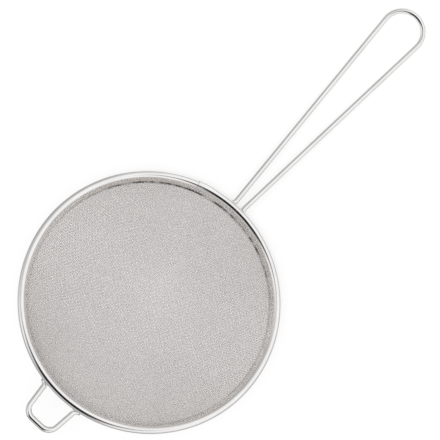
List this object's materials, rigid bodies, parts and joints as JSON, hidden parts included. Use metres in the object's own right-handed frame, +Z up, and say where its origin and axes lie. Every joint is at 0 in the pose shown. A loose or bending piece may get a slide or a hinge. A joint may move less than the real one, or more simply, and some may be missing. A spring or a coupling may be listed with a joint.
{
  "type": "mesh strainer",
  "caption": "Round wire-cloth kitchen strainer with a folded steel rim, a long bent-wire loop handle and a wire rest hook opposite it.",
  "frame": {"origin": "the point where the bowl's round bottom rests on the table", "axes": "+Z up from the table, +X along the handle towards its loop, +Y to the left; the strainer lies tilted on its bowl and on the flat end of its handle"},
  "size_m": [0.3856, 0.18, 0.0841],
  "materials": {
    "wire_cloth": "bright woven stainless wire",
    "rim_strip": "polished stainless strip",
    "drawn_wire": "plain drawn wire",
    "polished_wire": "polished stainless wire",
    "weld_metal": "bare weld metal, lightly brushed"
  },
  "bodies": {
    "root": {"mesh_bowl": "wire_cloth", "rim_band": "rim_strip", "rim_hoop_wire": "drawn_wire", "handle_wire": "polished_wire", "rest_hook_wire": "polished_wire", "handle_weld_left_inner": "weld_metal", "handle_weld_left_outer": "weld_metal", "handle_weld_right_inner": "weld_metal", "handle_weld_right_outer": "weld_metal", "hook_weld_left": "weld_metal", "hook_weld_right": "weld_metal", "seam_weld": "weld_metal"}
  },
  "joints": []
}
